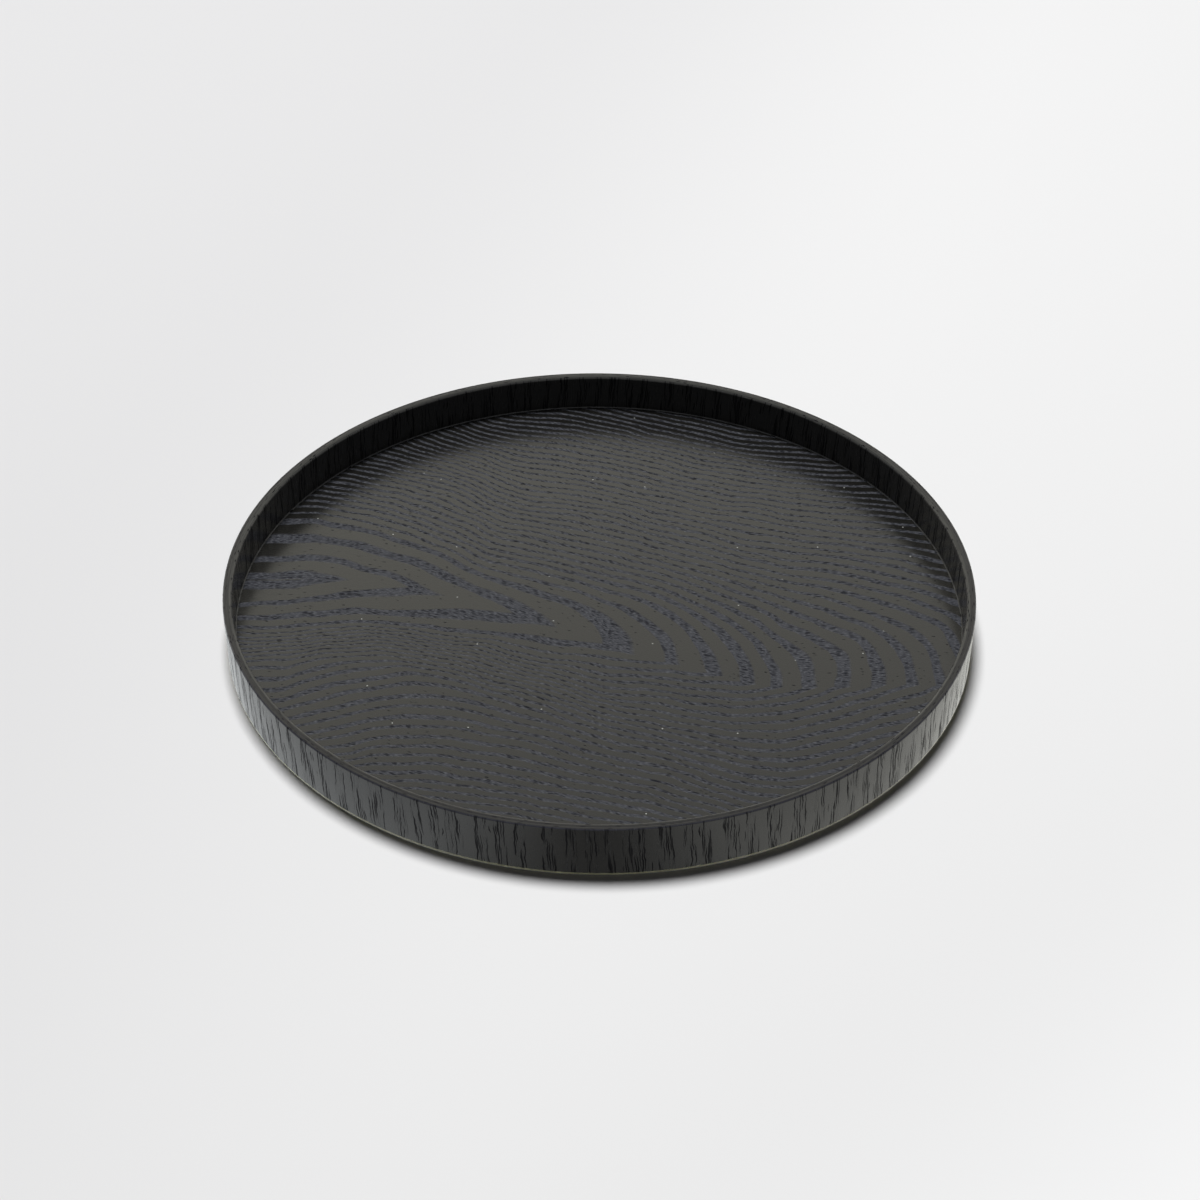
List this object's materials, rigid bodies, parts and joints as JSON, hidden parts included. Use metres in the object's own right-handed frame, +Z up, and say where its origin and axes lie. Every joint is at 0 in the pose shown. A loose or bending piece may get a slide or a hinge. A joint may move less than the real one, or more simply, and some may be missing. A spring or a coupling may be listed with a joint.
{
  "type": "serving tray",
  "caption": "Round serving tray with a low upright bentwood hoop and a flat base panel, black-stained open-pore ash veneer.",
  "frame": {"origin": "centre of the hoop's foot, on the table", "axes": "+Z up out of the serving surface, +X along the base veneer's grain"},
  "size_m": [0.38, 0.38, 0.028],
  "materials": {
    "hoop_outer_veneer": "satin lacquer over black stain, upright open-pore grain",
    "hoop_inner_veneer": "satin lacquer over black stain, upright open-pore grain",
    "hoop_ply": "satin lacquer over black stain, edge of bent plies",
    "base_face_veneer": "satin lacquer over black stain, open-pore cathedral grain",
    "base_ply": "unfinished plywood core",
    "base_back_veneer": "thin matt lacquer over black stain"
  },
  "bodies": {
    "root": {"rim_outer_veneer": "hoop_outer_veneer", "rim_outer_ply": "hoop_ply", "rim_core_ply": "hoop_ply", "rim_inner_ply": "hoop_ply", "rim_inner_veneer": "hoop_inner_veneer", "base_face_veneer": "base_face_veneer", "base_upper_ply": "base_ply", "base_core_ply": "base_ply", "base_lower_ply": "base_ply", "base_back_veneer": "base_back_veneer"}
  },
  "joints": []
}
